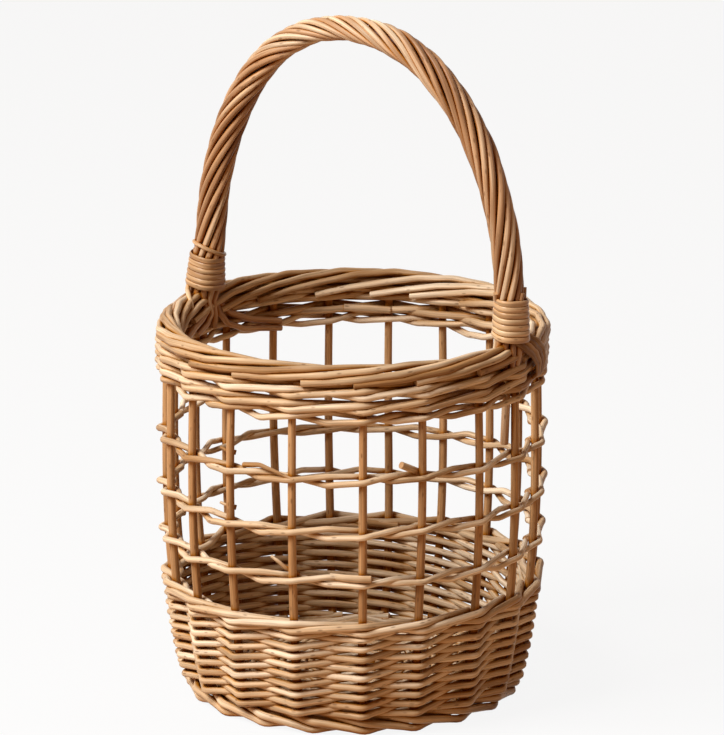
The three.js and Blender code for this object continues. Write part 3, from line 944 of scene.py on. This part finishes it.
# %% Ends of the roping
FOOT_REACH = (5.0, 5.2, 4.4, 4.0, 4.6, 7.0, 13.0, 9.0, 6.5, 6.0)
FAR_TAILS = (
    ((183, 112, 223.6), (190, 109.6, 223.2), (198, 107, 221.2), (206, 105, 217.5), (214, 103.4, 212)),
    ((182, 114, 223.6), (188, 112.8, 223), (197, 110.4, 223.2), (207, 107.8, 222.2), (217, 105, 218.6)),
    ((178.5, 112.5, 221), (179, 111, 214)),
    ((176.5, 110.5, 221), (176, 109, 214)),
    ((176.5, 106, 221), (174, 103.6, 215), (170, 102.2, 208.5), (162, 101.6, 202.5), (149.5, 101.2, 198)),
    ((177.5, 102.6, 220), (176, 101.2, 211), (172, 100.8, 203), (165, 100.6, 197.6), (149.5, 100.8, 193.8)),
    ((179.3, 101.2, 220), (179, 100.6, 211), (179.5, 100.4, 203)),
    ((181.5, 101.8, 220), (181, 100.8, 212.5), (184, 100.4, 207.5), (191, 100.6, 203.5)),
    ((183, 104.5, 220), (182.6, 102, 214.8), (187, 100.8, 211.4), (193, 100.6, 208.6), (201, 101, 205)),
    ((184, 108.5, 222), (188, 106.2, 219), (195, 104.2, 215.6), (202, 103.2, 212), (210, 102.4, 207)),
)
FIRST_TAIL = 4


def polar(line):
    return [place(math.radians(degrees), radius, z) for degrees, radius, z in line]


print("tails at the far foot:", len(FAR_TAILS))

# %% [markdown]
# Each rod's turn round the bow grows evenly, with some extra turn where the rope is closest. A little
# past the top of the arch the rope is also slimmest, because the rods' thin ends meet there.

# %% Twist of the rope
ROPING_TURNS = 2.75
EXTRA_TURNS = 0.53
EXTRA_CENTRE = 0.52
EXTRA_WIDTH = 0.11
SLIM_CENTRE = 0.535
SLIM_WIDTH = 0.09


def roping_turn(share):
    """How far round the bow a rod has gone, at a share of its way along it."""
    top = 0.5 + 0.5 * math.erf((share - EXTRA_CENTRE) / EXTRA_WIDTH)
    return math.tau * (ROPING_TURNS * share + EXTRA_TURNS * top)


def slimness(share):
    return math.exp(-(((share - SLIM_CENTRE) / SLIM_WIDTH) ** 2))


print("turns of the rope:", round(roping_turn(1.0) / math.tau, 2))

# %% [markdown]
# The rods also stray a little from their places, because hands don't twist as evenly as a machine. A
# Screw modifier would make them all alike, so each rod gets a line of its own.

# %% Roping
ROPING_RODS = 10
SLIM_RADIUS = 1.3
SLIM_SIZE = 0.65
ROPE_RADIUS = 6.75
ROPE_GROWTH = 0.5
ROPE_SIZES = (3.6, 4.1)
ROPE_STEPS = 150
ROPE_START = 4.0
ROPE_BEND = 9.0
STRAY_WAVES = (1.5, 3.0)
STRAY_RADIUS = 0.3
STRAY_TURN = 0.12
TOE_DEPTH = -16.0
NECK_DEPTH = -3.0
NECK_RADIUS = 7.2


def roping_rod(number):
    start_turn = math.tau * number / ROPING_RODS
    rope = []
    waves = hand.uniform(*STRAY_WAVES)
    phase = hand.uniform(0.0, math.tau)
    for step in range(ROPE_STEPS + 1):
        share = step / ROPE_STEPS
        stray = math.sin(math.pi * share) * math.sin(math.tau * waves * share + phase)
        distance = ROPE_START + share * (ARCH_LENGTH - 2 * ROPE_START)
        turn = start_turn + roping_turn(share) + STRAY_TURN * stray
        radius = ROPE_RADIUS + ROPE_GROWTH * share - SLIM_RADIUS * slimness(share) + STRAY_RADIUS * stray
        rope.append(round_handle(distance, turn, radius))
    toe = round_handle(TOE_DEPTH, start_turn, FOOT_REACH[number])
    foot = [toe, round_handle(NECK_DEPTH, start_turn, NECK_RADIUS)]
    far_tail = polar(FAR_TAILS[(number + FIRST_TAIL) % ROPING_RODS])
    end = bent([rope[-2], rope[-1], *far_tail], ROPE_BEND)
    path = foot + rope[:-2] + end
    shares = [0.0] * len(foot) + [step / ROPE_STEPS for step in range(ROPE_STEPS - 1)] + [1.0] * len(end)
    size = hand.uniform(*ROPE_SIZES)
    return path, [size - SLIM_SIZE * slimness(share) for share in shares]


for number in range(ROPING_RODS):
    label = f"{number + 1:02d}"
    grow(f"roping_{label}", [roping_rod(number)], HANDLE, [f"handle_rod_{label}"])

# %% [markdown]
# ## Bindings
# Each foot of the handle is bound with a skein: a willow rod split and shaved to a thin strip, wound
# six or seven times. Stacked rings would leave no slant, so it is one unbroken helix, flattened against
# the handle. The bundle of rods under it isn't round: the strip pulls it into four soft corners, and
# the light changes sharply at one.

# %% Bindings
TURN_STEPS = 32
CORNER_DEPTH = 0.045
STRIP_FLATNESS = 0.4
BINDING_LEAN = 0.9
LEFT_FRONT = 236
LEFT_OUTSIDE = 326


def binding(near_foot, count, pitch, start, radii, back, corner, outer_side):
    """A wound strip: its line, and the way out at each point. Both ends lie at the back."""
    path = []
    outs = []
    steps = count * TURN_STEPS
    for step in range(steps + 1):
        turns = step / TURN_STEPS
        rise = start + turns * pitch
        distance = rise if near_foot else ARCH_LENGTH - rise
        turn = math.radians(back) + math.tau * (-turns if near_foot else turns)
        hollow = CORNER_DEPTH * (1.0 - math.cos(4 * (turn - math.radians(corner))))
        radius = (radii[0] + (radii[1] - radii[0]) * step / steps) * (1.0 - hollow)
        radius += BINDING_LEAN * math.cos(turn - math.radians(outer_side))
        spot = round_handle(distance, turn, radius)
        path.append(spot)
        outs.append((spot - arch_frame(distance)[0]).normalized())
    return (path, [pitch] * len(path)), outs


bindings = {
    "right": binding(
        near_foot=True, count=7, pitch=3.5, start=3.6,
        radii=(10.9, 9.7), back=124, corner=288, outer_side=34,
    ),
    "left": binding(
        near_foot=False, count=6, pitch=3.3, start=3.75,
        radii=(11.6, 10.0), back=56, corner=LEFT_FRONT, outer_side=LEFT_OUTSIDE,
    ),
}
for side, (strip, outs) in bindings.items():
    nodes = [f"handle_binding_{side}"]
    grow(f"binding_{side}", [strip], SKEIN, nodes, [outs], STRIP_FLATNESS)

# %% [markdown]
# At the near foot the strip ends flat: four lengths of it lie side by side over the rim and are tucked
# in below. They lie in shade, and take a darker copy of the skein's colour as painted shade. One wide
# ribbon would be easier, but the four edges catch the light.

# %% Tail of the near binding
TAIL_STRIPS = 4
TAIL_WIDTH = 3.8
TAIL_FLATNESS = 0.35
SKEIN_BEND = 5.0


def tail_strip(share):
    line = (
        (-3.5 + 7.5 * share, 114.8 - share, 231),
        (0.8 + 7.5 * share, 118.4, 223.8 + 0.6 * share),
        (4.6 + 7.2 * share, 119, 218),
        (7.6 + 5.6 * share, 118.8, 211.5),
        (8.8 + 3.2 * share, 117.8, 205),
        (9.2 + 2 * share, 113, 200.5),
    )
    path = bent(polar(line), SKEIN_BEND)
    return path, [TAIL_WIDTH] * len(path)


tail_strips = [tail_strip(number / (TAIL_STRIPS - 1)) for number in range(TAIL_STRIPS)]
tail_outs = [[Vector((spot.x, spot.y, 0.0)).normalized() for spot in path] for path, sizes in tail_strips]
# These strips take the darker copy of the skein: painted shade.
grow("binding_tail", tail_strips, SHADED_SKEIN, (), tail_outs, TAIL_FLATNESS)

# %% [markdown]
# At the far foot a thin loose turn lies slanting above the binding, and a strand comes out under it and
# crosses the rim. Both are single rods on lines of their own, because nothing else on the basket
# repeats them.

# %% Loose strands
LOOP_STEP = 9
LOOP_STEPS = 42
LOOP_LEVEL = 27.3
LOOP_RADIUS = 9.3
LOOP_SIZES = (2.4, 2.2)
STRAND_SIZES = (3.0, 2.8)
LOOP_RISE_OUTSIDE = 3.4
LOOP_RISE_IN_FRONT = 1.5
STRAND_LINE = (
    (183.2, 113.6, 231.5),
    (185.5, 112, 227.4),
    (189, 107.6, 226),
    (191.5, 103.8, 222),
    (193, 102, 216),
)

loop = []
for step in range(LOOP_STEPS + 1):
    turn = math.radians(LEFT_OUTSIDE - step * LOOP_STEP)
    outside = math.cos(turn - math.radians(LEFT_OUTSIDE))
    front_side = math.cos(turn - math.radians(LEFT_FRONT))
    level = LOOP_LEVEL + LOOP_RISE_OUTSIDE * outside + LOOP_RISE_IN_FRONT * front_side
    loop.append(round_handle(ARCH_LENGTH - level, turn, LOOP_RADIUS))
strand_path = bent(polar(STRAND_LINE), SKEIN_BEND)
loose = [tapered(loop, *LOOP_SIZES), tapered(strand_path, *STRAND_SIZES)]
grow("loose_strands", loose, SKEIN)

# %% [markdown]
# ## Loose ends
# Rods are short, so every row has places where one stops and the next starts. Butts are cut off square
# and tips run out thin. They could come from a random scatter, but a few in the right places look more
# real. Each line is one such end: its two thicknesses, and then angle, radius and height along it.

# %% Ends in the weave
END_BEND = 6.0
WEAVE_ENDS = (
    (4.2, 3.9, ((318, 113.2, 167.4), (321.5, 110.8, 163.8), (325.2, 106, 159.8), (328, 105.4, 157.6))),
    (4.4, 4.2, ((309.2, 115, 100.4), (306.5, 113.8, 100.2), (302, 110.4, 99.8), (297, 106, 99.2))),
    (1.6, 3.2, ((286.8, 115, 158.6), (281, 113.6, 162), (275, 110.6, 163.6), (268, 106.6, 160.6))),
    (1.8, 3, ((278.8, 110.4, 110), (281, 111, 107.8), (283.6, 110, 103.6), (287, 105.8, 100))),
    (1.6, 3, ((260.6, 111, 169.6), (262.4, 109.6, 168), (264.6, 106, 166.6))),
    (1.6, 3, ((260.4, 111, 136.4), (262.4, 109.6, 135), (264.6, 106, 133.6))),
    (4.6, 4.4, ((111.2, 103.4, 202.2), (118, 103.8, 202.4), (127, 104.6, 203))),
    (4.4, 4.2, ((108.2, 101.4, 67.2), (114, 101.8, 67.4), (122, 102.4, 68))),
)

ends = [tapered(bent(polar(line), END_BEND), butt, tip) for butt, tip, line in WEAVE_ENDS]
grow("weave_ends", ends, WEAVER)

# %% [markdown]
# A few cut rods also stick out of the tops of the bindings. Each is a short straight stub, given by
# where it is round the handle and how far up it starts and ends.

# %% Stubs at the bindings
STUB_SIZE = 3.2
STUB_RADIUS = 8.0
STUB_TOP_RADIUS = 8.8
STUB_TWIST = 0.2
NEAR_STUBS = ((34, 25.0, 33.5), (350, 25.0, 31.5), (232, 27.5, 32.0))
FAR_STUB_DEGREES = 322
FAR_STUB_LEVELS = (20.0, 26.5)

stubs = []
for degrees, start, end in NEAR_STUBS:
    turn = math.radians(degrees)
    line = [round_handle(start, turn, STUB_RADIUS), round_handle(end, turn + STUB_TWIST, STUB_TOP_RADIUS)]
    stubs.append(tapered(line, STUB_SIZE, STUB_SIZE))
far_turn = math.radians(FAR_STUB_DEGREES)
far_stub = [round_handle(ARCH_LENGTH - level, far_turn, STUB_RADIUS) for level in FAR_STUB_LEVELS]
stubs.append(tapered(far_stub, STUB_SIZE, STUB_SIZE))
grow("handle_stubs", stubs, HANDLE)

# %% [markdown]
# ## Floor
# The basket stands on pale paper. More light on the paper would turn it white, but the basket would
# then be too bright. So a Light Path node shows the camera nearly white paper, and for all other light
# the paper stays a warm, darker one. A small part of the real surface is left in view, which keeps a
# soft shadow.

# %% Floor
FLOOR_SIZE = 14.0
PAPER_WHITE = "#fafafa"
GLOW_SHARE = 0.94

bpy.ops.object.select_all(action="DESELECT")
bpy.ops.mesh.primitive_plane_add(size=FLOOR_SIZE, location=(0, 0, 0))
floor = bpy.context.object
floor.name = "floor"


def seen_directly(tree):
    """One for what the camera sees, also in a reflection or through glass, and zero for other light."""
    rays = add_node(tree, "ShaderNodeLightPath")
    most = rays.outputs["Is Camera Ray"]
    for name in ("Is Glossy Ray", "Is Transmission Ray"):
        inputs = {0: most, 1: rays.outputs[name]}
        most = add_node(tree, "ShaderNodeMath", {"operation": "MAXIMUM"}, inputs).outputs[0]
    return most


# Uncoated paper: matt, and warm where it throws light back on the basket.
paper, tree, shader = new_material("pale paper floor")
seen = seen_directly(tree)
tones = {"Factor": seen, 6: linear("#c09870"), 7: linear("#f4f3f1")}
tint = add_node(tree, "ShaderNodeMix", {"data_type": "RGBA"}, tones).outputs[2]
tree.links.new(tint, shader.inputs["Base Color"])
shader.inputs["Roughness"].default_value = 0.9
glow = add_node(tree, "ShaderNodeEmission", inputs={"Color": linear(PAPER_WHITE), "Strength": 1.0})
part = add_node(tree, "ShaderNodeMath", {"operation": "MULTIPLY"}, {0: seen, 1: GLOW_SHARE})
mixing = {0: part.outputs[0], 1: shader.outputs[0], 2: glow.outputs[0]}
mix = add_node(tree, "ShaderNodeMixShader", inputs=mixing)
tree.links.new(mix.outputs[0], tree.nodes["Material Output"].inputs["Surface"])
floor.data.materials.append(paper)
print("floor laid, metres wide:", FLOOR_SIZE)

# %% [markdown]
# ## Sky
# A dim, warm sky fills the shadows evenly, as the walls of a room would. The camera sees it white, by
# the same Light Path switch as the floor.

# %% Sky
SKY_LIGHT = 0.24

world = bpy.data.worlds.new("soft sky")
bpy.context.scene.world = world
world.use_nodes = True
sky = world.node_tree
background = sky.nodes["Background"]
seen = seen_directly(sky)
tones = {"Factor": seen, 6: linear("#ffc086"), 7: linear(PAPER_WHITE)}
sky_tint = add_node(sky, "ShaderNodeMix", {"data_type": "RGBA"}, tones).outputs[2]
sky.links.new(sky_tint, background.inputs["Color"])
strength = {"Value": seen, **spans((0.0, 1.0), (SKY_LIGHT, 1.0))}
sky_strength = add_node(sky, "ShaderNodeMapRange", inputs=strength).outputs["Result"]
sky.links.new(sky_strength, background.inputs["Strength"])
print("sky light:", SKY_LIGHT)

# %% [markdown]
# ## Lamp
# One big soft lamp stands to the left, in front and above, like a window. Two lamps would be more even,
# but the basket's right side is plainly darker than its left, and one lamp gives that.

# %% Lamp
LAMP_SIDE = -1.36
LAMP_AHEAD = 0.76
LAMP_HEIGHT = 1.75
LAMP_SIZE = 1.1
LAMP_POWER = 82.0
LAMP_AIM = Vector((0, 0, 0.2))

right = Vector((math.cos(CAMERA_AZIMUTH), math.sin(CAMERA_AZIMUTH), 0.0))
front = Vector((math.sin(CAMERA_AZIMUTH), -math.cos(CAMERA_AZIMUTH), 0.0))
lamp_spot = right * LAMP_SIDE + front * LAMP_AHEAD + Vector((0, 0, LAMP_HEIGHT))
bpy.ops.object.light_add(type="AREA", location=lamp_spot)
lamp = bpy.context.object
lamp.name = "window_left"
lamp.data.size = LAMP_SIZE
lamp.data.energy = LAMP_POWER
lamp.rotation_euler = (LAMP_AIM - lamp_spot).to_track_quat("-Z", "Y").to_euler()
bpy.context.scene.view_settings.view_transform = "Standard"
print("lamp stands at", [round(value, 2) for value in lamp.location])
